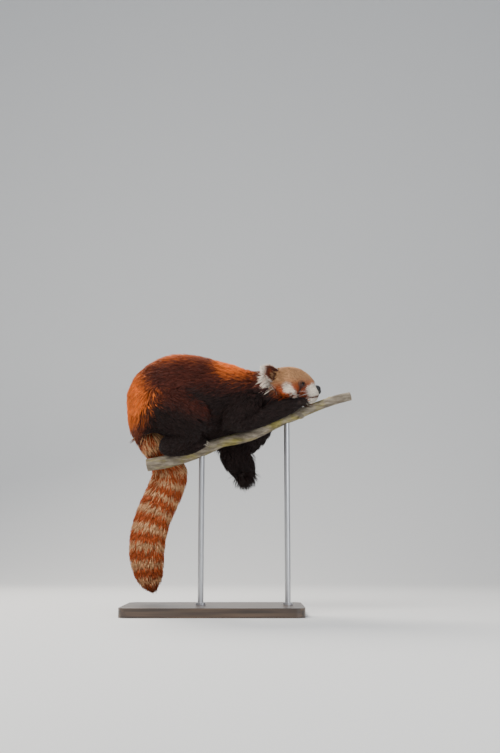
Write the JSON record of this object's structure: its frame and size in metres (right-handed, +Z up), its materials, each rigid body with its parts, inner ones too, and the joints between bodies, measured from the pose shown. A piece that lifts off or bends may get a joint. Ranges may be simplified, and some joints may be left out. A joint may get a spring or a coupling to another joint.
{
  "type": "red panda display model",
  "caption": "Life-size red panda lying along a cut branch, chin on a forepaw, one foreleg and ringed tail hanging, on a flat base with two rods.",
  "frame": {"origin": "centre of the base plate's underside, on the floor", "axes": "+X towards the animal's head, +Y to its left, +Z up"},
  "size_m": [0.5612, 0.25, 0.6336],
  "materials": {
    "coat_rust": "long soft rust-red fur",
    "coat_face": "short ginger fur with cream cheeks, brows and muzzle",
    "coat_dark": "shaggy blackish-brown fur",
    "coat_ears": "cream fur with a dark back",
    "coat_tail": "bushy rust fur with buff rings",
    "eye": "wet dark brown",
    "nose_skin": "moist black pebbled skin",
    "claw_horn": "pale horn",
    "bark": "rough lichened bark with sawn ends",
    "base_lacquer": "dark stained wood, satin",
    "rod_steel": "brushed"
  },
  "bodies": {
    "root": {"torso": "coat_rust", "neck": "coat_rust", "head": "coat_face", "ear_left": "coat_ears", "ear_right": "coat_ears", "eye_left": "eye", "eye_right": "eye", "nose": "nose_skin", "foreleg_left": "coat_dark", "foreleg_right": "coat_dark", "hindleg_left": "coat_dark", "hindleg_right": "coat_dark", "tail_root": "coat_tail", "tail_middle": "coat_tail", "tail_end": "coat_tail", "perch_branch": "bark", "stand_base": "base_lacquer", "stand_rod_rear": "rod_steel", "stand_rod_front": "rod_steel"}
  },
  "joints": []
}
